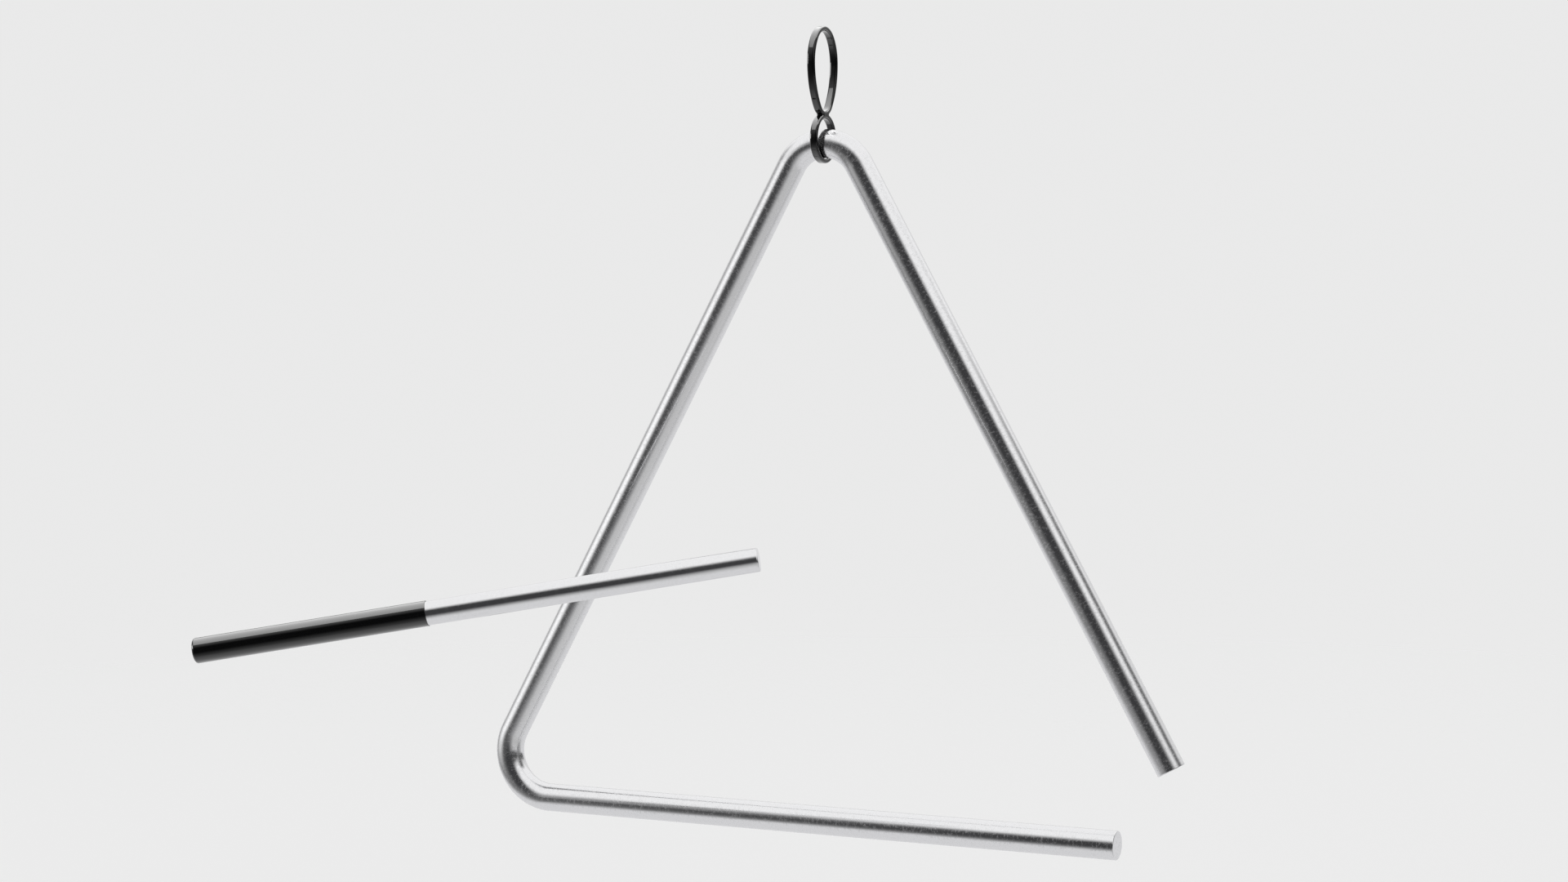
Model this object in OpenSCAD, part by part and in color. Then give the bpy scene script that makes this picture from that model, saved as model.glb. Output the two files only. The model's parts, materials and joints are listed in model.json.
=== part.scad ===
// Triangle instrument hanging in its moulded ring, with its beater held in front of it.
// Millimetres. +X runs along the bar where it hangs, +Y points away from the viewer and +Z is up.
// The origin is the seat of the finger loop: the top of its hole, in the middle of its thickness.

/* [Triangle bar] */
// Diameter of the round bar
bar_d = 8; // [6:0.5:10]
// Left side, from corner to corner, where a corner is the point at which two centre lines meet
side_left = 230; // [190:1:270]
// Right side, from the top corner to its cut end
side_right = 205.5; // [150:0.5:215]
// Bottom side, from the lower left corner to its cut end
side_bottom = 196; // [130:0.5:205]
// Angle between the left and right sides, in degrees
top_angle = 58; // [52:1:64]
// Radius of the top bend at the bar's centre line
top_bend_r = 11.7; // [9:0.1:15]
// Radius of the lower left bend at the bar's centre line
low_bend_r = 13; // [9:0.5:20]
// How much thinner than its straights the bar is round its bends
bend_thin = 0.02; // [0.01:0.01:0.1]
// Edge break at the bar's two cut ends
bar_chamfer = 0.3; // [0.1:0.1:0.8]

/* [Hanger] */
// Thickness of the moulding, along the bar
hanger_t = 2.25; // [1.4:0.05:3]
// Width of the moulding's wall, round both holes
hanger_wall = 1.3; // [1.25:0.05:2]
// Rounding of the moulding's edges
hanger_edge_r = 0.6; // [0.2:0.05:0.6]
// Height of the finger loop's hole
loop_hole_h = 21.9; // [18:0.1:24]
// Width of the finger loop's hole, at its widest
loop_hole_w = 13.9; // [12.6:0.1:15]
// Depth of that widest place below the top of the hole
loop_wide_drop = 8.7; // [8:0.1:10]
// Radius of the hole's top end
loop_top_r = 6.1; // [5:0.1:6.3]
// Radius of the hole's lower end
loop_low_r = 3.8; // [3:0.1:5]
// Diameter of the hole that the bar hangs in
bar_hole_d = 11; // [10.2:0.1:13]
// How far the ring hangs from the top of the bend, towards the left side
ring_aside = 0.6; // [0:0.1:2]
// How far the loop's wall and the bar ring's wall run into each other
ring_overlap = 0.6; // [0.1:0.05:0.8]
// Width of the web that joins the two rings
web_w = 3.4; // [2:0.1:5]
// Running gap between the bar's underside and the ring it hangs in
seat_gap = 0.05; // [0.03:0.01:0.1]

/* [Beater] */
// Diameter of the beater's steel rod
rod_d = 6.35; // [4:0.05:8]
// Overall length of the beater
beater_len = 150.2; // [130:0.1:200]
// Edge break at the rod's two ends
rod_chamfer = 0.4; // [0.1:0.1:0.8]
// Length of the grip sleeve
grip_len = 62.5; // [40:0.5:90]
// Wall of the grip sleeve round the rod
grip_wall = 0.2; // [0.15:0.05:1]
// Thickness of the sleeve's closed end
grip_end_t = 1.2; // [1:0.1:3]
// Rounding of the sleeve's closed end
grip_edge_r = 0.8; // [0.3:0.1:1]

/* [Where the beater is held] */
// Distance of the beater's axis in front of the triangle, where it crosses the left side
beater_front = 97.7; // [90:0.1:120]
// Length of the beater to the left of that crossing
beater_left = 58.9; // [40:0.1:70]
// Share of the left side, from the top corner, at which it crosses
cross_share = 0.667; // [0.55:0.001:0.72]
// Turn of the beater away from the triangle's plane, seen from above, in degrees
beater_turn = 21.2; // [15:0.1:28]
// Rise of the beater towards its tip, in degrees
beater_rise = 9.2; // [0:0.1:14]

/* [Hidden] */
$fn = 96;

// Slip of the grip sleeve's bore over the rod, on the radius
grip_slip = 0.01;
// How far the ends of the bar's straights run into its bends, and how much they taper on the radius
bend_lap = 1;
lap_taper = 0.1;
// How much slimmer every other stretch of the finger loop is, on each side, and how far it runs
// into its neighbours
loop_slim = 0.01;
loop_lap = 0.2;
// How far a cut runs past the face that it opens
overrun = 1;

half_angle = top_angle / 2;
// Half of the angle inside the lower left corner
low_half = (90 - half_angle) / 2;

// The hanger's two holes, from the origin down
bar_hole_z = -loop_hole_h - 2 * hanger_wall + ring_overlap - bar_hole_d / 2;
web_z = -loop_hole_h - hanger_wall + ring_overlap / 2;

// The finger loop's middle line: half width, and height above and below its widest place
loop_half = (loop_hole_w + hanger_wall) / 2;
loop_up = loop_wide_drop + hanger_wall / 2;
loop_down = loop_hole_h - loop_wide_drop + hanger_wall / 2;
top_arc_r = loop_top_r + hanger_wall / 2;
low_arc_r = loop_low_r + hanger_wall / 2;

// Reach of the ring's seat from the top of the bend, and how far the bend's underside drops over it
seat_reach = ring_aside + (hanger_t - hanger_edge_r) / 2;
bend_in_r = top_bend_r - bar_d / 2;
seat_drop = bend_in_r - sqrt(pow(bend_in_r, 2) - pow(seat_reach, 2));

// The triangle's corners: the bar's underside hangs in the ring, at the top bend
bar_top_z = bar_hole_z - bar_hole_d / 2 + seat_gap + seat_drop + (bar_d - bend_thin) / 2;
corner_x = ring_aside;
corner_z = bar_top_z + top_bend_r * (1 / sin(half_angle) - 1);
low_corner = [corner_x - side_left * sin(half_angle), corner_z - side_left * cos(half_angle)];

// How far each bend reaches from its corner along the two sides
top_reach = top_bend_r / tan(half_angle);
low_reach = low_bend_r / tan(low_half);

// The beater: where its axis crosses the left side, and its two radii
cross_at = cross_share * side_left;
cross_x = corner_x - cross_at * sin(half_angle);
cross_z = corner_z - cross_at * cos(half_angle);
rod_r = rod_d / 2;
bore_r = rod_r + grip_slip;
grip_r = bore_r + grip_wall;

// Radius of a side arc that starts upright at the loop's widest place and runs into an end arc
// of radius r whose top lies at height h, both on the middle line
function side_arc_r(h, r) = (pow(loop_half, 2) + pow(h - r, 2) - pow(r, 2)) / (2 * (loop_half - r));

// Angle at which that side arc runs into the end arc
function side_arc_end(h, r) = atan2(h - r, side_arc_r(h, r) - loop_half);

// Stands a shape that is drawn flat up in the hanger's plane, with its x along +Y and its y along +Z
module in_hanger_plane() {
    rotate([90, 0, 90]) children();
}

// Section of the moulding: radial width by thickness, with rounded edges
module hanger_section(slim) {
    w = hanger_wall - 2 * slim;
    t = hanger_t - 2 * slim;
    flat_w = w - 2 * hanger_edge_r;
    flat_t = t - 2 * hanger_edge_r;
    square([w, flat_t], center = true);
    square([flat_w, t], center = true);
    for (x = [-flat_w / 2, flat_w / 2], y = [-flat_t / 2, flat_t / 2])
        translate([x, y]) circle(r = hanger_edge_r);
}

// Full stretch of the finger loop along an arc, turned about the arc's own centre
module full_arc(r, from, to) {
    rotate([0, 0, from])
        rotate_extrude(angle = to - from)
            translate([r, 0]) hanger_section(0);
}

// Slimmer stretch, whose two ends run on into the full stretches beside it
module slim_arc(r, from, to) {
    lap_turn = loop_lap / r * 180 / PI;
    rotate([0, 0, from - lap_turn])
        rotate_extrude(angle = to - from + 2 * lap_turn)
            translate([r, 0]) hanger_section(loop_slim);
}

// Upper end of the finger loop, over slimmer side arcs that start at its widest place
module loop_top(h, r) {
    side_r = side_arc_r(h, r);
    turn = side_arc_end(h, r);
    translate([0, h - r]) full_arc(r, turn, 180 - turn);
    translate([loop_half - side_r, 0]) slim_arc(side_r, 0, turn);
    translate([side_r - loop_half, 0]) slim_arc(side_r, 180 - turn, 180);
}

// Lower end, drawn upside down: full side arcs and a slimmer end
module loop_low(h, r) {
    side_r = side_arc_r(h, r);
    turn = side_arc_end(h, r);
    translate([0, h - r]) slim_arc(r, turn, 180 - turn);
    translate([loop_half - side_r, 0]) full_arc(side_r, 0, turn);
    translate([side_r - loop_half, 0]) full_arc(side_r, 180 - turn, 180);
}

// Moulded figure of eight: the finger loop above and the bar ring below
module hanger() {
    color([0.04, 0.04, 0.045])
    in_hanger_plane() {
        translate([0, -loop_wide_drop]) {
            loop_top(loop_up, top_arc_r);
            rotate([0, 0, 180]) loop_low(loop_down, low_arc_r);
        }
        translate([0, bar_hole_z])
            rotate_extrude()
                translate([(bar_hole_d + hanger_wall) / 2, 0]) hanger_section(0);
        translate([0, web_z])
            cube([web_w, hanger_wall / 2, hanger_t - hanger_edge_r], center = true);
    }
}

// Straight stretch of the bar from a point of the XZ plane, at an angle from +X towards +Z. It
// tapers into the bend before it, and its far end tapers too, over a length of its own.
module bar_straight(x, z, angle, length, end_len, end_taper) {
    r = bar_d / 2;
    translate([x, 0, z]) rotate([0, 90 - angle, 0]) rotate_extrude()
        polygon([[0, -bend_lap], [r - lap_taper, -bend_lap], [r, 0],
            [r, length], [r - end_taper, length + end_len], [0, length + end_len]]);
}

// Bend of the bar about a point of the XZ plane
module bar_bend(x, z, r, from, to) {
    translate([x, 0, z]) rotate([90, 0, 0]) rotate([0, 0, from])
        rotate_extrude(angle = to - from)
            translate([r, 0]) circle(d = bar_d - bend_thin);
}

// One round bar, bent twice and open at its lower right corner, its two cut ends with a broken edge
module triangle_bar() {
    top_x = top_reach * sin(half_angle);
    top_z = corner_z - top_reach * cos(half_angle);
    color([0.72, 0.72, 0.74]) {
        bar_bend(corner_x, corner_z - top_bend_r / sin(half_angle), top_bend_r,
            half_angle, 180 - half_angle);
        bar_straight(corner_x + top_x, top_z, half_angle - 90, side_right - top_reach - bar_chamfer,
            bar_chamfer, bar_chamfer);
        bar_straight(corner_x - top_x, top_z, -90 - half_angle, side_left - top_reach - low_reach,
            bend_lap, lap_taper);
        bar_bend(low_corner.x + low_reach, low_corner.y + low_bend_r, low_bend_r, 180 - half_angle, 270);
        bar_straight(low_corner.x + low_reach, low_corner.y, 0, side_bottom - low_reach - bar_chamfer,
            bar_chamfer, bar_chamfer);
    }
}

// Puts a shape that runs up +Z from the beater's closed end where the beater is held
module at_beater() {
    translate([cross_x, -beater_front, cross_z])
        rotate([0, 90 - beater_rise, beater_turn])
            translate([0, 0, -beater_left]) children();
}

// Steel rod, from the bottom of the grip sleeve's bore to the tip
module beater_rod() {
    rod_len = beater_len - grip_end_t;
    tip_d = rod_d - 2 * rod_chamfer;
    color([0.72, 0.72, 0.74])
    at_beater() translate([0, 0, grip_end_t]) {
        cylinder(d1 = tip_d, d2 = rod_d, h = rod_chamfer);
        translate([0, 0, rod_chamfer]) cylinder(d = rod_d, h = rod_len - 2 * rod_chamfer);
        translate([0, 0, rod_len - rod_chamfer]) cylinder(d1 = rod_d, d2 = tip_d, h = rod_chamfer);
    }
}

// Soft sleeve over the rod, closed and rounded at its end
module grip_sleeve() {
    color([0.05, 0.05, 0.055])
    at_beater() rotate_extrude() difference() {
        union() {
            translate([0, grip_edge_r]) square([grip_r, grip_len - grip_edge_r]);
            square([grip_r - grip_edge_r, grip_edge_r]);
            translate([grip_r - grip_edge_r, grip_edge_r]) circle(r = grip_edge_r);
        }
        translate([0, grip_end_t]) square([bore_r, grip_len - grip_end_t + overrun]);
    }
}

hanger();
triangle_bar();
beater_rod();
grip_sleeve();
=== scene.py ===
import json
import math
from typing import NamedTuple

import bmesh
import bpy
from bpy.props import FloatProperty, FloatVectorProperty, IntProperty, PointerProperty
from mathutils import Matrix, Vector
from mathutils.geometry import tessellate_polygon


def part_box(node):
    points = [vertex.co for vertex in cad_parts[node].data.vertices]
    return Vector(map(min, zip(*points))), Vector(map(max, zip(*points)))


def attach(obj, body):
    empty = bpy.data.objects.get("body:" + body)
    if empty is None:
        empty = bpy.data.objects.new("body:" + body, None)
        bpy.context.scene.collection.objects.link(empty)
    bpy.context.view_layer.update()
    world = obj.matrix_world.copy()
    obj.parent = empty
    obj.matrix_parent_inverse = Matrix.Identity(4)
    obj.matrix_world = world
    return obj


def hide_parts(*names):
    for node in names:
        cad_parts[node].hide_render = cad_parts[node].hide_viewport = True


bl_info = {
    "name": "Triangle Instrument",
    "version": (1, 0, 0),
    "blender": (4, 5, 0),
    "location": "3D View > Sidebar > Triangle",
    "description": "Dresses a triangle, its hanger and its beater, and lights them in a pale studio",
    "category": "Add Mesh",
}

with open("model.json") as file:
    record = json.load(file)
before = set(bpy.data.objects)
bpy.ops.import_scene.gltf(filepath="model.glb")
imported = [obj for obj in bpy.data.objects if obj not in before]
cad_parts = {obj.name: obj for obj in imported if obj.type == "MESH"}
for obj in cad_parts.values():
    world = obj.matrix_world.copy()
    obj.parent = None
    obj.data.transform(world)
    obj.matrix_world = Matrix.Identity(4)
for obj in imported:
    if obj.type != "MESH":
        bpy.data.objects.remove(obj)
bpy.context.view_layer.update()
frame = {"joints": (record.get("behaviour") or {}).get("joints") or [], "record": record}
MOUNTS = {mount["name"]: mount for mount in frame["record"]["mounts"]}
JOINTS = {joint["name"]: joint for joint in frame["joints"]}

MM = 0.001
# Most by which a finished piece's box may differ from its CAD node's
FIT = 0.1 * MM
# Points of a turned piece that are nearer than this are one point
SAME_PLACE = 0.0001 * MM
# Nearly all of a noise texture's values lie between these
NOISE_RANGE = (0.3, 0.7)
# Levels of the steel's tint between its specks and in them
CLEAR_LEVEL, SPECK_LEVEL = 1.01, 0.98
UP = Vector((0, 0, 1))
ROD_TREE = "Round rod along a path"
# Attribute that gives each point's place as if the rod were straight and stood on its end
STRAIGHTENED = "straightened"

# Places that the frame gives: the bar's swing runs through the middle of the ring that holds it,
# and the beater turns about the middle of its closed end
RING_Z = JOINTS["triangle_swing"]["pos_m"][2]
BEATER_BASE = Vector(JOINTS["beater_stroke"]["pos_m"])
BEATER_WAY = -Vector(MOUNTS["grip"]["axis"]).normalized()


def box_size(node):
    """Extents of a CAD node along the three axes."""
    low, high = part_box(node)
    return high - low


def length(name, description, default):
    """Property for a length in metres."""
    return FloatProperty(name=name, description=description, default=default, min=0.0,
                         subtype="DISTANCE", unit="LENGTH", precision=5)


def angle(name, description, degrees):
    """Property for an angle, whose default is given in degrees."""
    return FloatProperty(name=name, description=description, default=math.radians(degrees),
                         subtype="ANGLE", unit="ROTATION")


def colour(name, description, default):
    """Property for a linear colour."""
    return FloatVectorProperty(name=name, description=description, default=default, size=3,
                               min=0.0, max=1.0, subtype="COLOR")


def share(name, description, default):
    """Property for a share between nothing and all."""
    return FloatProperty(name=name, description=description, default=default, min=0.0, max=1.0,
                         subtype="FACTOR")


def number(name, description, default):
    """Property for a plain number of nothing or more."""
    return FloatProperty(name=name, description=description, default=default, min=0.0)


def count(name, description, default):
    """Property for a number of steps."""
    return IntProperty(name=name, description=description, default=default, min=3)


class BarSizes(bpy.types.PropertyGroup):
    """Sizes of the bent bar."""

    diameter: length("Diameter", "Diameter of the round bar", box_size("triangle_bar").y)
    side_left: length("Left Side", "Left side, from corner to corner", 230 * MM)
    side_right: length("Right Side", "Right side, from the top corner to its cut end", 205.5 * MM)
    side_bottom: length("Bottom Side", "Bottom side, from the lower left corner to its cut end",
                        196 * MM)
    top_angle: angle("Top Angle", "Angle between the left and right sides", 58)
    top_bend: length("Top Bend", "Radius of the top bend at the bar's centre line", 11.7 * MM)
    low_bend: length("Lower Bend", "Radius of the lower left bend at the bar's centre line", 13 * MM)
    bend_thin: length("Bend Thinning", "How much thinner the bar is round its bends", 0.02 * MM)
    edge_break: length("Edge Break", "Rounding of the bar's two cut ends", 0.3 * MM)
    seat_gap: length("Seat Gap", "Gap between the bar's underside and its ring", 0.05 * MM)
    ring_aside: length("Ring Aside", "How far the ring hangs from the top of the bend, towards the "
                       "left side", 0.6 * MM)
    steps_round: count("Steps Round", "Faces round the bar", 96)
    steps_bend: count("Steps Along a Bend", "Faces along each of the bar's bends", 64)


class HangerSizes(bpy.types.PropertyGroup):
    """Sizes of the moulded figure of eight."""

    thickness: length("Thickness", "Thickness of the moulding, along the bar", box_size("hanger").x)
    wall: length("Wall", "Width of the moulding's wall round both holes", 1.3 * MM)
    edge: length("Edge Rounding", "Rounding of the moulding's edges", 0.6 * MM)
    hole_height: length("Loop Height", "Height of the finger loop's hole", 21.9 * MM)
    hole_width: length("Loop Width", "Width of the finger loop's hole", 13.9 * MM)
    wide_drop: length("Widest Place", "Depth of the loop's widest place below its top", 8.7 * MM)
    top_round: length("Top Radius", "Radius of the loop hole's top end", 6.1 * MM)
    low_round: length("Lower Radius", "Radius of the loop hole's lower end", 3.8 * MM)
    bar_hole: length("Bar Hole", "Diameter of the hole that the bar hangs in", 11 * MM)
    neck_round: length("Neck Rounding", "Rounding between the loop and the ring", 0.1 * MM)
    arc_steps: count("Arc Steps", "Faces along each stretch of the outline", 32)
    edge_steps: count("Edge Steps", "Faces across each rounded edge", 6)


class BeaterSizes(bpy.types.PropertyGroup):
    """Sizes of the beater."""

    rod: length("Rod Diameter", "Diameter of the steel rod", 6.35 * MM)
    overall: length("Length", "Overall length of the beater", 150.2 * MM)
    edge_break: length("Edge Break", "Rounding of the rod's two ends", 0.4 * MM)
    grip: length("Grip Length", "Length of the grip sleeve", 62.5 * MM)
    grip_radius: length("Grip Radius", "Outer radius of the grip sleeve",
                        MOUNTS["grip"]["dims"]["r_mm"] * MM)
    grip_wall: length("Grip Wall", "Wall of the grip sleeve round the rod", 0.2 * MM)
    grip_end: length("Closed End", "Thickness of the sleeve's closed end", 1.2 * MM)
    grip_round: length("End Rounding", "Rounding of the sleeve's closed end", 0.8 * MM)
    lip: length("Lip Rounding", "Rounding of the sleeve's open lip", 0.06 * MM)
    steps_round: count("Steps Round", "Faces round the rod and the sleeve", 96)


class SteelFinish(bpy.types.PropertyGroup):
    """Plated steel of the bar and the beater's rod."""

    tint: colour("Tint", "Colour that the steel reflects", (0.80, 0.80, 0.81))
    roughness: share("Roughness", "Blur of the steel's reflections", 0.13)
    frost: share("Frost", "Blur of the reflections in the frosted specks", 0.34)
    frost_from: share("Frost From", "Level of the specks' noise at which the frost sets in", 0.44)
    frost_to: share("Frost To", "Level of the specks' noise at which the frost is full", 0.7)
    grain: length("Grain", "Size of the frosted specks", 0.9 * MM)
    squash: number("Squash", "How many times wider the specks are round the rod than along it", 1.8)
    grain_depth: length("Grain Depth", "Height of the specks' relief", 0.005 * MM)
    ripple: length("Ripple", "Size of the surface's slight waves", 3 * MM)
    ripple_share: share("Ripple Share", "Height of the waves, against the specks' relief", 1.0)
    beater_share: share("Beater Share", "Strength of the specks on the smoother beater", 0.4)


class BlackFinish(bpy.types.PropertyGroup):
    """Gloss black of the hanger and the grip sleeve."""

    tint: colour("Tint", "Colour of the black under its gloss", (0.0015, 0.0015, 0.0016))
    gloss: share("Gloss", "Strength of the black's reflections", 0.5)
    roughness: share("Roughness", "Blur of the black's reflections", 0.04)
    grip_blur: number("Grip Blur", "Blur of the grip's reflections, against the hanger's", 1.5)
    wave: length("Wave", "Size of the surface's slight waves", 1.6 * MM)
    wave_depth: length("Wave Depth", "Height of the waves", 0.002 * MM)
    wave_blur: number("Wave Blur", "Blur on the waves' crests, against that in their hollows", 1.4)


class StudioSettings(bpy.types.PropertyGroup):
    """Floor, light and camera."""

    paper: colour("Paper", "Colour of the backdrop as the camera sees it", (0.82, 0.82, 0.82))
    floor_paint: colour("Floor", "Colour of the floor", (0.92, 0.92, 0.92))
    softbox_height: length("Softbox Height", "Height of the overhead softbox above the loop", 1.5)
    softbox_reach: length("Softbox Reach", "How far the softbox reaches past the loop's axis, "
                          "towards the viewer", 0.86)
    softbox_depth: length("Softbox Depth", "Depth of the overhead softbox", 5.0)
    softbox_width: length("Softbox Width", "Width of the overhead softbox", 3.5)
    softbox_turn: angle("Softbox Turn", "Azimuth of the softbox's front edge, from the far side "
                        "towards +X", 147.5)
    softbox_spread: angle("Softbox Spread", "Angle into which the softbox shines", 140)
    softbox_light: number("Softbox Light", "Radiance of the softbox", 3.7)
    strip_away: length("Strip Distance", "Distance of the strip light from the loop", 2.0)
    strip_turn: angle("Strip Turn", "Azimuth of the strip light, from the far side towards +X", -115)
    strip_rise: angle("Strip Rise", "Elevation of the strip light", 8)
    strip_width: length("Strip Width", "Width of the strip light", 1.07)
    strip_height: length("Strip Height", "Height of the strip light", 0.56)
    strip_light: number("Strip Light", "Radiance of the strip light", 12.0)
    glow_away: length("Glow Distance", "Distance of the glow from below", 1.2)
    glow_turn: angle("Glow Turn", "Azimuth of the glow, from the far side towards +X", -40)
    glow_rise: angle("Glow Rise", "Elevation of the glow", -68)
    glow_size: length("Glow Size", "Width and height of the glow from below", 4.0)
    glow_spread: angle("Glow Spread", "Angle into which the glow from below shines", 130)
    glow_light: number("Glow Light", "Radiance of the glow from below", 0.6)
    floor_drop: length("Floor Drop", "Depth of the floor below the finger loop", 0.30)
    floor_radius: length("Floor Radius", "Radius of the round floor", 1.2)
    floor_steps: count("Floor Steps", "Corners of the floor's round edge", 96)
    fade_start: share("Fade Start", "Share of its radius at which the floor starts to fade", 0.35)
    fade_end: share("Fade End", "Share of its radius at which the floor has faded out", 0.95)
    eye: FloatVectorProperty(name="Camera Place", description="Where the camera stands",
                             default=(0.3619, -0.8048, -0.03712), size=3, subtype="TRANSLATION")
    aim: FloatVectorProperty(name="Camera Aim", description="Direction in which the camera looks",
                             default=(-0.4204, 0.9033, -0.0853), size=3, subtype="DIRECTION")
    roll: angle("Camera Roll", "Turn of the camera about its aim, clockwise", 0.5)
    lens: FloatProperty(name="Lens", description="Focal length of the camera in millimetres",
                        default=73.41, min=1.0, subtype="DISTANCE_CAMERA")
    sensor: FloatProperty(name="Sensor", description="Width of the camera's sensor in millimetres",
                          default=36.0, min=1.0, subtype="DISTANCE_CAMERA")


class Wire:
    """One output socket in a node tree. Sums on it add Math nodes to the tree."""

    def __init__(self, tree, socket=None):
        self.tree = tree
        self.socket = socket

    def node(self, kind, settings=(), inputs=(), output=0):
        """Adds a node of that kind: first its settings, then the values or links of its sockets.
        Its wire has no socket if the node has no output."""
        made = self.tree.nodes.new(kind)
        for name, value in dict(settings).items():
            if name == "captures":
                for item in value:
                    made.capture_items.new(*item)
            else:
                setattr(made, name, value)
        for key, value in dict(inputs).items():
            if isinstance(value, Wire):
                self.tree.links.new(value.socket, socket_of(made.inputs, key))
            else:
                socket_of(made.inputs, key).default_value = value
        return Wire(self.tree, socket_of(made.outputs, output) if made.outputs else None)

    def beside(self, output):
        """Another output of the node that this wire leaves."""
        return Wire(self.tree, socket_of(self.socket.node.outputs, output))

    def maths(self, operation, *terms):
        """Math node on the terms in their order, this wire among them."""
        return self.node("ShaderNodeMath", {"operation": operation}, dict(enumerate(terms)))

    def __add__(self, other):
        return self.maths("ADD", self, other)

    def __radd__(self, other):
        return self.maths("ADD", other, self)

    def __sub__(self, other):
        return self.maths("SUBTRACT", self, other)

    def __rsub__(self, other):
        return self.maths("SUBTRACT", other, self)

    def __mul__(self, other):
        return self.maths("MULTIPLY", self, other)

    def __rmul__(self, other):
        return self.maths("MULTIPLY", other, self)

    def __truediv__(self, other):
        return self.maths("DIVIDE", self, other)

    def __rtruediv__(self, other):
        return self.maths("DIVIDE", other, self)

    def smooth(self, start, end):
        """Runs smoothly from 0 where this wire is at start to 1 where it is at end."""
        return self.node("ShaderNodeMapRange", {"interpolation_type": "SMOOTHSTEP"},
                         {"Value": self, "From Min": start, "From Max": end})

    def between(self, low, high):
        """Runs from low to high as this wire runs from 0 to 1."""
        return low + self * (high - low)

    def over(self, under, paint, label=""):
        """Colour under, with paint laid on where this wire is 1. The label names the node."""
        return self.node("ShaderNodeMix", {"data_type": "RGBA", "label": label},
                         {"Factor_Float": self, "A_Color": under, "B_Color": paint}, "Result_Color")

    def noise(self, vector, size, detail=2.0, roughness=0.5):
        """Noise over a vector in metres, with features of that size."""
        return self.node("ShaderNodeTexNoise", (),
                         {"Vector": vector, "Scale": 1 / size, "Detail": detail,
                          "Roughness": roughness}, "Fac")


def socket_of(sockets, key):
    """Socket with that place, identifier or name."""
    if isinstance(key, int):
        return sockets[key]
    found = [s for s in sockets if s.identifier == key] or [s for s in sockets if s.name == key]
    return found[0]


def rgba(tint, level=1.0):
    """Linear colour with its alpha, at that level."""
    return (*(part * level for part in tint), 1.0)


def grey(level):
    """Linear grey of that level."""
    return (level, level, level)


def new_material(name):
    """Material with an empty tree, and a wire to start from."""
    material = bpy.data.materials.new(name)
    material.use_nodes = True
    material.node_tree.nodes.clear()
    return material, Wire(material.node_tree)


def steel(name, look, strength=1.0):
    """Plated steel on a rod that carries its straightened place: fine frosted specks that run a
    little way round the rod, and a faint unevenness that makes the reflections' edges ragged.
    Strength scales the specks' frost and the height of both."""
    material, start = new_material(name)
    place = start.node("ShaderNodeAttribute", {"attribute_name": STRAIGHTENED}, (), "Vector")
    squashed = start.node("ShaderNodeMapping", (),
                          {"Vector": place, "Scale": (1.0, 1.0, look.squash)})
    speck = start.noise(squashed, look.grain, detail=3.0, roughness=0.65)
    ripple = start.noise(place, look.ripple, detail=1.0)
    frost = speck.smooth(look.frost_from, look.frost_to) * strength
    bump = start.node("ShaderNodeBump", (),
                      {"Strength": 1.0, "Distance": look.grain_depth * strength,
                       "Height": ripple * look.ripple_share + speck})
    base = speck.smooth(*NOISE_RANGE).over(rgba(look.tint, CLEAR_LEVEL),
                                           rgba(look.tint, SPECK_LEVEL))
    shader = start.node("ShaderNodeBsdfPrincipled", (),
                        {"Base Color": base, "Metallic": 1.0,
                         "Roughness": frost.between(look.roughness, look.frost), "Normal": bump})
    start.node("ShaderNodeOutputMaterial", (), {"Surface": shader})
    return material


def black(name, look, blur=1.0):
    """Gloss black, very slightly uneven. Blur scales the blur of its reflections."""
    material, start = new_material(name)
    place = start.node("ShaderNodeTexCoord", (), (), "Object")
    wave = start.noise(place, look.wave)
    least = look.roughness * blur
    rough = wave.smooth(*NOISE_RANGE).between(least, least * look.wave_blur)
    bump = start.node("ShaderNodeBump", (), {"Strength": 1.0, "Distance": look.wave_depth,
                                             "Height": wave})
    shader = start.node("ShaderNodeBsdfPrincipled", (),
                        {"Base Color": rgba(look.tint), "Roughness": rough, "IOR": 1.5,
                         "Specular IOR Level": look.gloss, "Normal": bump})
    start.node("ShaderNodeOutputMaterial", (), {"Surface": shader})
    return material


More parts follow.
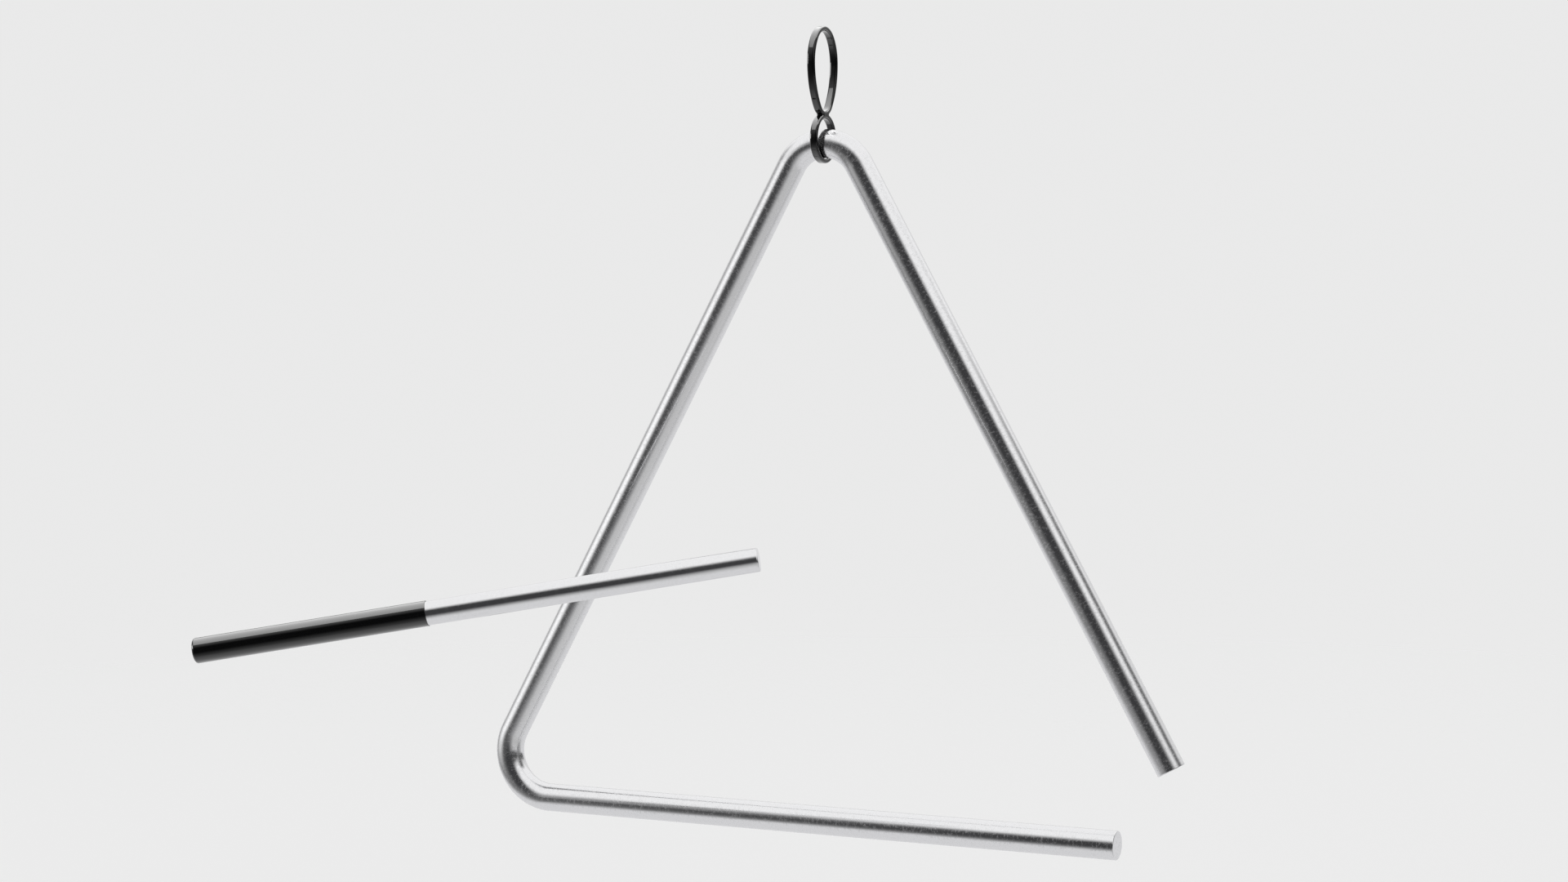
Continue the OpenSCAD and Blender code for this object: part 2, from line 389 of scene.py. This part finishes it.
def rod_tree():
    """Tree that sweeps a round rod along the edges of a path and rounds its two cut ends."""
    tree = bpy.data.node_groups.new(ROD_TREE, "GeometryNodeTree")
    for name, kind in (("Path", "NodeSocketGeometry"), ("Diameter", "NodeSocketFloat"),
                       ("Edge Break", "NodeSocketFloat"), ("Steps Round", "NodeSocketInt"),
                       ("Finish", "NodeSocketMaterial")):
        tree.interface.new_socket(name, in_out="INPUT", socket_type=kind)
    tree.interface.new_socket("Rod", in_out="OUTPUT", socket_type="NodeSocketGeometry")
    start = Wire(tree)
    path = start.node("NodeGroupInput", (), (), "Path")
    radius = path.beside("Diameter") / 2
    edge = path.beside("Edge Break")
    spine = start.node("GeometryNodeMeshToCurve", (), {"Mesh": path})
    along = start.node("GeometryNodeSplineParameter", (), (), "Length")
    total = start.node("GeometryNodeSplineLength", (), (), "Length")
    to_end = along.maths("MINIMUM", along, total - along)
    depth = to_end.maths("MAXIMUM", 1 - to_end / edge, 0.0)
    inset = edge * (1 - depth.maths("SQRT", 1 - depth * depth))
    spine = start.node("GeometryNodeCaptureAttribute",
                       {"domain": "POINT", "captures": (("FLOAT", "Along"), ("FLOAT", "Fullness"))},
                       {"Geometry": spine, "Along": along, "Fullness": 1 - inset / radius})
    section = start.node("GeometryNodeCurvePrimitiveCircle", {"mode": "RADIUS"},
                         {"Resolution": path.beside("Steps Round"), "Radius": radius})
    spot = start.node("GeometryNodeInputPosition")
    section = start.node("GeometryNodeCaptureAttribute",
                         {"domain": "POINT", "captures": (("VECTOR", "Spot"),)},
                         {"Geometry": section, "Spot": spot})
    swept = start.node("GeometryNodeCurveToMesh", (),
                       {"Curve": spine, "Profile Curve": section,
                        "Scale": spine.beside("Fullness"), "Fill Caps": True})
    across = start.node("ShaderNodeSeparateXYZ", (), {"Vector": section.beside("Spot")})
    unbent = start.node("ShaderNodeCombineXYZ", (),
                        {"X": across, "Y": across.beside("Y"), "Z": spine.beside("Along")})
    swept = start.node("GeometryNodeStoreNamedAttribute",
                       {"data_type": "FLOAT_VECTOR", "domain": "POINT"},
                       {"Geometry": swept, "Name": STRAIGHTENED, "Value": unbent})
    swept = start.node("GeometryNodeSetShadeSmooth", (), {"Geometry": swept})
    swept = start.node("GeometryNodeRealizeInstances", (), {"Geometry": swept})
    swept = start.node("GeometryNodeSetMaterial", (),
                       {"Geometry": swept, "Material": path.beside("Finish")})
    start.node("NodeGroupOutput", (), {"Rod": swept})
    return tree


def new_object(name, mesh):
    """Object at the origin that carries a mesh."""
    made = bpy.data.objects.new(name, mesh)
    bpy.context.scene.collection.objects.link(made)
    return made


def sockets_by_name(tree):
    """Identifiers of a tree's inputs, by their names."""
    return {item.name: item.identifier for item in tree.interface.items_tree
            if item.item_type == "SOCKET" and item.in_out == "INPUT"}


def swept_rod(name, path, diameter, edge_break, steps_round, finish):
    """Round rod along a list of points, swept by the tree and left as a plain mesh."""
    spine = bpy.data.meshes.new(name + "_path")
    spine.from_pydata(path, [(i, i + 1) for i in range(len(path) - 1)], [])
    rod = new_object(name, spine)
    tree = bpy.data.node_groups.get(ROD_TREE) or rod_tree()
    sweep = rod.modifiers.new("Sweep", "NODES")
    names = sockets_by_name(tree)
    sweep.node_group = tree
    sweep[names["Diameter"]] = diameter
    sweep[names["Edge Break"]] = edge_break
    sweep[names["Steps Round"]] = steps_round
    sweep[names["Finish"]] = finish
    shaped = rod.evaluated_get(bpy.context.evaluated_depsgraph_get())
    mesh = bpy.data.meshes.new_from_object(shaped)
    rod.modifiers.remove(sweep)
    rod.data = mesh
    mesh.name = name
    cap_rings(mesh)
    return rod


def cap_rings(mesh, width=0.05 * MM):
    """Gives each flat cap a narrow ring inside its rim, so that it stays flat under smooth
    shading. The caps are the only faces of more than four corners."""
    shape = bmesh.new()
    shape.from_mesh(mesh)
    caps = [face for face in shape.faces if len(face.verts) > 4]
    bmesh.ops.inset_individual(shape, faces=caps, thickness=width)
    bmesh.ops.poke(shape, faces=caps)
    shape.to_mesh(mesh)
    shape.free()


def end_gaps(edge_break, steps=6):
    """Distances from a cut end at which its rounded edge has a ring, from the end inwards."""
    return [edge_break * (1 - math.cos(math.pi / 2 * i / steps)) for i in range(steps + 1)]


def arc(centre, radius, start, end, steps):
    """Points along an arc of the XZ plane, by angles from +X towards +Z, both ends included."""
    turns = [start + (end - start) * i / steps for i in range(steps + 1)]
    return [Vector((centre.x + radius * math.cos(t), 0, centre.z + radius * math.sin(t)))
            for t in turns]


def bar_path(sizes):
    """Centre line of the bar, from the right side's cut end round to the bottom's cut end."""
    half = sizes.top_angle / 2
    low_half = (math.pi / 2 - half) / 2
    ring = bpy.context.scene.hanger_sizes
    seat_reach = sizes.ring_aside + (ring.thickness - ring.edge) / 2
    inside = sizes.top_bend - sizes.diameter / 2
    seat_drop = inside - math.sqrt(inside ** 2 - seat_reach ** 2)
    top_z = RING_Z - ring.bar_hole / 2 + sizes.seat_gap + seat_drop \
        + (sizes.diameter - sizes.bend_thin) / 2
    corner = Vector((sizes.ring_aside, 0, top_z + sizes.top_bend * (1 / math.sin(half) - 1)))
    left_way = Vector((-math.sin(half), 0, -math.cos(half)))
    right_way = Vector((math.sin(half), 0, -math.cos(half)))
    low_corner = corner + left_way * sizes.side_left
    low_reach = sizes.low_bend / math.tan(low_half)
    low_centre = low_corner + Vector((low_reach, 0, sizes.low_bend))
    top_centre = corner - Vector((0, 0, sizes.top_bend / math.sin(half)))
    gaps = end_gaps(sizes.edge_break)
    right = [corner + right_way * (sizes.side_right - gap) for gap in gaps]
    top = arc(top_centre, sizes.top_bend, half, math.pi - half, sizes.steps_bend)
    low = arc(low_centre, sizes.low_bend, math.pi - half, 1.5 * math.pi, sizes.steps_bend)
    bottom = [low_corner + Vector((sizes.side_bottom - gap, 0, 0)) for gap in reversed(gaps)]
    return right + top + low + bottom


def check_fit(piece, *nodes):
    """Stops the script if a piece's box isn't that of the CAD nodes it replaces."""
    boxes = [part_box(node) for node in nodes]
    for axis in range(3):
        values = [vertex.co[axis] for vertex in piece.data.vertices]
        low = min(box[0][axis] for box in boxes)
        high = max(box[1][axis] for box in boxes)
        if abs(min(values) - low) > FIT or abs(max(values) - high) > FIT:
            raise RuntimeError(f"{piece.name} is {min(values)} to {max(values)} on axis {axis}, "
                               f"and its CAD nodes are {low} to {high}")


def finish_piece(piece, body, slot, *nodes):
    """Checks that a finished piece fits its CAD nodes, ties it to its body and hides the nodes. The
    slot is not used.
    """
    check_fit(piece, *nodes)
    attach(piece, body)
    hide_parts(*nodes)


class OutlinePoint:
    """Point of an outline in the hanger's plane, with the direction out of the moulding."""

    def __init__(self, y, z, out_y, out_z):
        self.y = y
        self.z = z
        self.out_y = out_y
        self.out_z = out_z

    def mirrored(self):
        """The same point on the other side of the hanger."""
        return OutlinePoint(-self.y, self.z, -self.out_y, self.out_z)

    def ringed(self, x, inset):
        """Point of the moulding's skin, that far along the bar and inside the outline."""
        return Vector((x, self.y - self.out_y * inset, self.z - self.out_z * inset))


def outline_arc(centre_y, centre_z, radius, start, end, steps, out):
    """Outline points along an arc, by angles from +Y towards +Z. Out is 1 where the moulding lies
    inside the arc and -1 where it lies outside."""
    points = []
    for i in range(steps + 1):
        turn = start + (end - start) * i / steps
        across, up = math.cos(turn), math.sin(turn)
        points.append(OutlinePoint(centre_y + radius * across, centre_z + radius * up,
                                   out * across, out * up))
    return points


def loop_side(sizes, offset):
    """The finger loop's right side, at an offset from its middle line: the centre, radius and end
    angle of the arcs above and below the widest place, and its two ends' centres and radii."""
    half = (sizes.hole_width + sizes.wall) / 2
    up = sizes.wide_drop + sizes.wall / 2
    down = sizes.hole_height - sizes.wide_drop + sizes.wall / 2
    stretches = []
    for height, radius in ((up, sizes.top_round + sizes.wall / 2),
                           (down, sizes.low_round + sizes.wall / 2)):
        side = (half ** 2 + (height - radius) ** 2 - radius ** 2) / (2 * (half - radius))
        turn = math.atan2(height - radius, side - half)
        stretches.append((half - side, side + offset, turn, height - radius, radius + offset))
    return stretches


def loop_outline(sizes, offset, out, low_end):
    """Right half of a loop outline, from its top down to the angle low_end on its lower end."""
    (up_y, up_r, up_turn, top_z, top_r), (low_y, low_r, low_turn, end_z, end_r) = \
        loop_side(sizes, offset)
    wide = -sizes.wide_drop
    steps = sizes.arc_steps
    top = outline_arc(0, wide + top_z, top_r, math.pi / 2, up_turn, steps, out)
    upper = outline_arc(up_y, wide, up_r, up_turn, 0, steps, out)
    lower = outline_arc(low_y, wide, low_r, 0, -low_turn, steps, out)
    end = outline_arc(0, wide - end_z, end_r, -low_turn, low_end, steps, out)
    return top + upper[1:] + lower[1:] + end[1:]


def closed_outline(right_half):
    """Whole outline from its right half, whose two ends lie on the middle."""
    left_half = [point.mirrored() for point in reversed(right_half[1:-1])]
    return right_half + left_half


def hanger_outlines(sizes):
    """Outlines of the moulding: the outer one, the finger loop's hole and the bar's hole."""
    half_wall = sizes.wall / 2
    quarter = math.pi / 2
    hole = closed_outline(loop_outline(sizes, -half_wall, -1, -quarter))
    bar_hole = outline_arc(0, RING_Z, sizes.bar_hole / 2, quarter, -3 * quarter,
                           4 * sizes.arc_steps, -1)[:-1]
    low_z = -sizes.hole_height + sizes.low_round
    low_r = sizes.low_round + sizes.wall
    ring_r = sizes.bar_hole / 2 + sizes.wall
    apart = low_z - RING_Z
    to_low = low_r + sizes.neck_round
    to_ring = ring_r + sizes.neck_round
    drop = (to_low ** 2 - to_ring ** 2 + apart ** 2) / (2 * apart)
    neck_y = math.sqrt(to_low ** 2 - drop ** 2)
    low_turn = math.atan2(-drop, neck_y)
    ring_turn = math.atan2(apart - drop, neck_y)
    right = loop_outline(sizes, half_wall, 1, low_turn)
    neck = outline_arc(neck_y, low_z - drop, sizes.neck_round, low_turn + math.pi,
                       ring_turn + math.pi, sizes.arc_steps // 2, -1)
    ring = outline_arc(0, RING_Z, ring_r, ring_turn, -quarter, 3 * sizes.arc_steps, 1)
    return closed_outline(right + neck[1:] + ring[1:]), hole, bar_hole


def skin_rings(sizes):
    """Steps across the moulding's skin: place along the bar, inset, and the tilt of the skin."""
    flat = sizes.thickness / 2 - sizes.edge
    steps = sizes.edge_steps
    tilts = [math.pi / 2 * i / steps for i in range(steps + 1)]
    near = [(flat + sizes.edge * math.sin(t), sizes.edge * (1 - math.cos(t)), t) for t in tilts]
    far = [(-x, inset, -t) for x, inset, t in reversed(near)]
    return far + near


def hanger_mesh(sizes):
    """Mesh of the moulding, with its exact normals."""
    points, normals, faces = [], [], []
    rings = skin_rings(sizes)
    spans = []
    for outline in hanger_outlines(sizes):
        first = len(points)
        size = len(outline)
        for x, inset, tilt in rings:
            for spot in outline:
                points.append(spot.ringed(x, inset))
                side = math.cos(tilt)
                normals.append(Vector((math.sin(tilt), spot.out_y * side, spot.out_z * side)))
        for ring in range(len(rings) - 1):
            for i in range(size):
                a = first + ring * size + i
                b = first + ring * size + (i + 1) % size
                faces.append((a, b, b + size, a + size))
        spans.append((first, size))
    for ring in (0, len(rings) - 1):
        loops = [range(first + ring * size, first + (ring + 1) * size)
                 for first, size in spans]
        order = [index for loop in loops for index in loop]
        flats = tessellate_polygon([[points[index] for index in loop] for loop in loops])
        faces.extend(tuple(order[corner] for corner in corners) for corners in flats)
    mesh = bpy.data.meshes.new("hanger_moulding")
    mesh.from_pydata(points, [], faces)
    mesh.update()
    face_outwards(mesh, normals)
    mesh.normals_split_custom_set_from_vertices(normals)
    return mesh


def face_outwards(mesh, normals):
    """Turns each face round whose winding disagrees with its vertices' normals."""
    shape = bmesh.new()
    shape.from_mesh(mesh)
    shape.normal_update()
    wrong = [face for face in shape.faces
             if face.normal.dot(sum((normals[v.index] for v in face.verts), Vector())) < 0]
    bmesh.ops.reverse_faces(shape, faces=wrong)
    for face in shape.faces:
        face.smooth = True
    shape.to_mesh(mesh)
    shape.free()


def turned(name, outline, base, way, steps):
    """Solid of revolution about a line from base along way. The outline lists distances along the
    line and radii, and starts and ends on the line."""
    turn = way.to_track_quat("Z", "Y").to_matrix()
    shape = bmesh.new()
    corners = [shape.verts.new(base + turn @ Vector((radius, 0, along)))
               for along, radius in outline]
    edges = [shape.edges.new(pair) for pair in zip(corners, corners[1:])]
    bmesh.ops.spin(shape, geom=corners + edges, cent=base, axis=way, angle=2 * math.pi,
                   steps=steps, use_merge=True)
    bmesh.ops.remove_doubles(shape, verts=shape.verts, dist=SAME_PLACE)
    bmesh.ops.recalc_face_normals(shape, faces=shape.faces)
    for face in shape.faces:
        face.smooth = True
    mesh = bpy.data.meshes.new(name)
    shape.to_mesh(mesh)
    shape.free()
    return mesh


def quarter_round(centre_along, centre_radius, radius, start, end, steps=10):
    """Outline points round an arc of a turned piece, by angles from outwards towards its end."""
    turns = [start + (end - start) * i / steps for i in range(steps + 1)]
    return [(centre_along + radius * math.sin(t), centre_radius + radius * math.cos(t))
            for t in turns]


def grip_outline(sizes, guard=0.1 * MM):
    """Outline of the sleeve from the middle of its closed end, over its lip and down its bore.
    Extra points at a guard's width from its corners keep the flats between them plain."""
    outer = sizes.grip_radius
    bore = outer - sizes.grip_wall
    end = quarter_round(sizes.grip_round, outer - sizes.grip_round, sizes.grip_round,
                        -math.pi / 2, 0)
    lip = quarter_round(sizes.grip - sizes.lip, outer - sizes.lip, sizes.lip, 0, math.pi / 2)
    inner_lip = quarter_round(sizes.grip - sizes.lip, bore + sizes.lip, -sizes.lip,
                              -math.pi / 2, 0)
    middle = [(0, 0), (0, outer - sizes.grip_round - guard)]
    bottom = [(sizes.grip_end + guard, bore), (sizes.grip_end, bore),
              (sizes.grip_end, bore - guard), (sizes.grip_end, 0)]
    stretch = [(sizes.grip_round + guard, outer), (sizes.grip - sizes.lip - guard, outer)]
    return middle + end + stretch + lip + inner_lip + bottom


class TRIANGLE_OT_bar(bpy.types.Operator):
    """Makes the bent bar over its CAD node"""

    bl_idname = "triangle.bar"
    bl_label = "Bent Bar"

    def execute(self, context):
        sizes = context.scene.bar_sizes
        finish = steel("Bar steel", context.scene.steel_finish)
        bar = swept_rod("bent_bar", bar_path(sizes), sizes.diameter, sizes.edge_break,
                        sizes.steps_round, finish)
        finish_piece(bar, "triangle", "bar_steel", "triangle_bar")
        return {"FINISHED"}


class TRIANGLE_OT_hanger(bpy.types.Operator):
    """Makes the moulded figure of eight over its CAD node"""

    bl_idname = "triangle.hanger"
    bl_label = "Hanger"

    def execute(self, context):
        hanger = new_object("hanger_moulding", hanger_mesh(context.scene.hanger_sizes))
        hanger.data.materials.append(black("Hanger plastic", context.scene.black_finish))
        black_pieces().objects.link(hanger)
        finish_piece(hanger, "hanger", "hanger_plastic", "hanger")
        return {"FINISHED"}


class TRIANGLE_OT_beater(bpy.types.Operator):
    """Makes the beater's rod and its grip sleeve over their CAD nodes"""

    bl_idname = "triangle.beater"
    bl_label = "Beater"

    def execute(self, context):
        sizes = context.scene.beater_sizes
        gaps = end_gaps(sizes.edge_break)
        stations = [sizes.grip_end + gap for gap in gaps]
        stations += [sizes.overall - gap for gap in reversed(gaps)]
        path = [BEATER_BASE + BEATER_WAY * station for station in stations]
        metal = context.scene.steel_finish
        finish = steel("Beater steel", metal, metal.beater_share)
        rod = swept_rod("beater_steel_rod", path, sizes.rod, sizes.edge_break, sizes.steps_round,
                        finish)
        finish_piece(rod, "beater", "beater_steel", "beater_rod")
        grip = new_object("beater_grip", turned("beater_grip", grip_outline(sizes), BEATER_BASE,
                                                BEATER_WAY, sizes.steps_round))
        gloss = context.scene.black_finish
        grip.data.materials.append(black("Grip sleeve", gloss, gloss.grip_blur))
        black_pieces().objects.link(grip)
        finish_piece(grip, "beater", "grip_rubber", "grip_sleeve")
        return {"FINISHED"}


class Patch(NamedTuple):
    """Round patch of the surroundings with a soft edge. Its turn is an azimuth from the far side
    towards +X, its rise is an elevation, and aside, up and down are how far it reaches from
    there, all in degrees. Soft is the share of that reach over which it fades, to either side of
    its edge."""

    name: str
    tint: tuple
    turn: float
    rise: float
    aside: float
    up: float
    down: float
    soft: float

    def laid_on(self, light, turn, rise):
        """Light with this patch laid on it, by the azimuth and elevation that are looked at."""
        aside = turn.maths("WRAP", turn - math.radians(self.turn), math.pi, -math.pi)
        aside = aside / math.radians(self.aside)
        above = rise - math.radians(self.rise)
        upright = above.maths("MAXIMUM", above / math.radians(self.up),
                              above / -math.radians(self.down))
        reach = aside.maths("SQRT", aside * aside + upright * upright)
        return reach.smooth(1 + self.soft, 1 - self.soft).over(light, rgba(self.tint), self.name)


# What the steel shows round about: a wall, a brighter ceiling and a floor, with the elevations
# between which they run into each other, and then the soft lights and dark flags, each laid over
# those before it
WALL = grey(0.79)
CEILING = grey(1.03)
CEILING_EDGE = (math.radians(15), math.radians(25))
FLOOR = (0.77, 0.77, 0.78)
FLOOR_EDGE = (math.radians(-1), math.radians(-4))
PATCHES = (
    Patch("Shade", grey(0.58), turn=120, rise=-34, aside=55, up=14, down=16, soft=0.8),
    Patch("Dim side", grey(0.18), turn=76, rise=27, aside=20, up=6, down=53, soft=0.75),
    Patch("Blot", grey(0.07), turn=126, rise=-3, aside=40, up=14, down=12, soft=0.5),
    Patch("Flag behind", grey(0.09), turn=52, rise=1, aside=27, up=7, down=8, soft=0.4),
    Patch("Low flag", grey(0.19), turn=-124, rise=1, aside=53, up=6, down=35, soft=0.33),
    Patch("Gap", grey(0.43), turn=-84, rise=10, aside=21, up=21, down=31, soft=0.5),
    Patch("Dark flag", (0.048, 0.048, 0.05), turn=175, rise=10, aside=38, up=29, down=40, soft=0.5),
    Patch("Lamp", grey(1.23), turn=-112, rise=11, aside=23, up=5, down=20, soft=0.85),
)


def studio_world(studio):
    """World whose plain paper the camera sees, and whose soft lights and flags the steel shows."""
    world = bpy.data.worlds.new("Studio")
    world.use_nodes = True
    world.node_tree.nodes.clear()
    start = Wire(world.node_tree)
    way = start.node("ShaderNodeSeparateXYZ", (),
                     {"Vector": start.node("ShaderNodeTexCoord", (), (), "Generated")})
    turn = way.maths("ARCTAN2", way, way.beside("Y"))
    rise = way.maths("ARCSINE", way.beside("Z"))
    light = rise.smooth(*CEILING_EDGE).over(rgba(WALL), rgba(CEILING), "Ceiling")
    light = rise.smooth(*FLOOR_EDGE).over(light, rgba(FLOOR), "Floor")
    for patch in PATCHES:
        light = patch.laid_on(light, turn, rise)
    path = start.node("ShaderNodeLightPath", (), (), "Is Camera Ray")
    seen = path.maths("MAXIMUM", path, path.beside("Is Transmission Ray"))
    light = seen.over(light, rgba(studio.paper), "Paper")
    shader = start.node("ShaderNodeBackground", (), {"Color": light, "Strength": 1.0})
    start.node("ShaderNodeOutputWorld", (), {"Surface": shader})
    bpy.context.scene.world = world


def black_pieces():
    """Collection of the gloss black pieces, which the lamps light."""
    name = "Gloss black pieces"
    return bpy.data.collections.get(name) or bpy.data.collections.new(name)


def towards(turn, rise):
    """Direction by its azimuth, from the far side towards +X, and its elevation."""
    return Vector((math.sin(turn) * math.cos(rise), math.cos(turn) * math.cos(rise),
                   math.sin(rise)))


def facing(place, aim, roll=0.0):
    """Pose at a place that looks along aim, and is level but for a turn by roll about it."""
    side = aim.cross(UP).normalized()
    side.rotate(Matrix.Rotation(roll, 3, aim))
    axes = Matrix((side, side.cross(aim), -aim)).transposed()
    return Matrix.Translation(place) @ axes.to_4x4()


def gloss_lamp(name, width, height, radiance, spread, pose):
    """Soft rectangular lamp that only the gloss of the black pieces shows."""
    data = bpy.data.lights.new(name, "AREA")
    data.shape = "RECTANGLE"
    data.size = width
    data.size_y = height
    data.energy = math.pi * width * height * radiance
    data.spread = spread
    lamp = bpy.data.objects.new(name, data)
    lamp.matrix_world = pose
    lamp.visible_camera = False
    lamp.visible_diffuse = False
    lamp.light_linking.receiver_collection = black_pieces()
    bpy.context.scene.collection.objects.link(lamp)


def studio_lamps(studio):
    """Overhead softbox, strip light and glow from below for the black pieces."""
    front = towards(studio.softbox_turn, 0)
    middle = front * (studio.softbox_reach - studio.softbox_depth / 2)
    overhead = Matrix.Translation(middle + UP * studio.softbox_height)
    gloss_lamp("Overhead softbox", studio.softbox_width, studio.softbox_depth,
               studio.softbox_light, studio.softbox_spread,
               overhead @ Matrix.Rotation(-studio.softbox_turn, 4, "Z"))
    way = towards(studio.strip_turn, studio.strip_rise)
    gloss_lamp("Strip light", studio.strip_width, studio.strip_height, studio.strip_light,
               math.pi, facing(way * studio.strip_away, -way))
    way = towards(studio.glow_turn, studio.glow_rise)
    gloss_lamp("Glow from below", studio.glow_size, studio.glow_size, studio.glow_light,
               studio.glow_spread, facing(way * studio.glow_away, -way))


def studio_floor(studio):
    """Pale floor that fades into the paper. It is clear to reflections, to the lamps and to a
    view from below."""
    shape = bmesh.new()
    bmesh.ops.create_circle(shape, cap_ends=True, radius=studio.floor_radius,
                            segments=studio.floor_steps,
                            matrix=Matrix.Translation((0, 0, -studio.floor_drop)))
    mesh = bpy.data.meshes.new("floor")
    shape.to_mesh(mesh)
    shape.free()
    floor = new_object("floor", mesh)
    material, start = new_material("Floor paper")
    place = start.node("ShaderNodeSeparateXYZ", (),
                       {"Vector": start.node("ShaderNodeTexCoord", (), (), "Object")})
    side = place.beside("Y")
    reach = place.maths("SQRT", place * place + side * side)
    faded = reach.smooth(studio.floor_radius * studio.fade_start,
                         studio.floor_radius * studio.fade_end)
    back = start.node("ShaderNodeNewGeometry", (), (), "Backfacing")
    glossy = start.node("ShaderNodeLightPath", (), (), "Is Glossy Ray")
    unseen = glossy.maths("MAXIMUM", glossy, glossy.beside("Is Shadow Ray"))
    clear = faded.maths("MAXIMUM", faded, back.maths("MAXIMUM", back, unseen))
    paint = start.node("ShaderNodeBsdfDiffuse", (), {"Color": rgba(studio.floor_paint)})
    glass = start.node("ShaderNodeBsdfTransparent")
    shader = start.node("ShaderNodeMixShader", (), {0: clear, 1: paint, 2: glass})
    start.node("ShaderNodeOutputMaterial", (), {"Surface": shader})
    floor.data.materials.append(material)


def studio_camera(studio):
    """Camera at the photographed angle."""
    data = bpy.data.cameras.new("Camera")
    data.lens = studio.lens
    data.sensor_fit = "HORIZONTAL"
    data.sensor_width = studio.sensor
    camera = bpy.data.objects.new("Camera", data)
    camera.matrix_world = facing(Vector(studio.eye), Vector(studio.aim).normalized(), studio.roll)
    bpy.context.scene.collection.objects.link(camera)
    bpy.context.scene.camera = camera


class TRIANGLE_OT_stage(bpy.types.Operator):
    """Sets the floor, the light and the camera"""

    bl_idname = "triangle.stage"
    bl_label = "Stage"

    def execute(self, context):
        studio = context.scene.studio_settings
        studio_world(studio)
        studio_lamps(studio)
        studio_floor(studio)
        studio_camera(studio)
        context.scene.view_settings.view_transform = "Standard"
        return {"FINISHED"}


class TRIANGLE_PT_panel(bpy.types.Panel):
    """Lists the pieces, with the sizes and finishes behind them"""

    bl_idname = "TRIANGLE_PT_panel"
    bl_label = "Triangle Instrument"
    bl_space_type = "VIEW_3D"
    bl_region_type = "UI"
    bl_category = "Triangle"

    def draw(self, context):
        for operator, settings in PARTS:
            box = self.layout.box()
            box.operator(operator.bl_idname)
            for name in settings:
                group = getattr(context.scene, name)
                for key in group.bl_rna.properties.keys():
                    if key not in ("rna_type", "name"):
                        box.prop(group, key)


PARTS = (
    (TRIANGLE_OT_stage, ("studio_settings",)),
    (TRIANGLE_OT_bar, ("bar_sizes", "steel_finish")),
    (TRIANGLE_OT_hanger, ("hanger_sizes", "black_finish")),
    (TRIANGLE_OT_beater, ("beater_sizes",)),
)
SETTINGS = {
    "bar_sizes": BarSizes,
    "hanger_sizes": HangerSizes,
    "beater_sizes": BeaterSizes,
    "steel_finish": SteelFinish,
    "black_finish": BlackFinish,
    "studio_settings": StudioSettings,
}
CLASSES = (*SETTINGS.values(), *(operator for operator, _ in PARTS), TRIANGLE_PT_panel)


def register():
    """Registers the classes and gives the scene its settings."""
    for kind in CLASSES:
        bpy.utils.register_class(kind)
    for name, kind in SETTINGS.items():
        setattr(bpy.types.Scene, name, PointerProperty(type=kind))


def unregister():
    """Takes the settings and the classes away again."""
    for name in SETTINGS:
        delattr(bpy.types.Scene, name)
    for kind in reversed(CLASSES):
        bpy.utils.unregister_class(kind)


def main():
    """Registers the classes, then makes the stage and every piece."""
    register()
    bpy.ops.triangle.stage()
    bpy.ops.triangle.bar()
    bpy.ops.triangle.hanger()
    bpy.ops.triangle.beater()


if __name__ == "__main__":
    main()
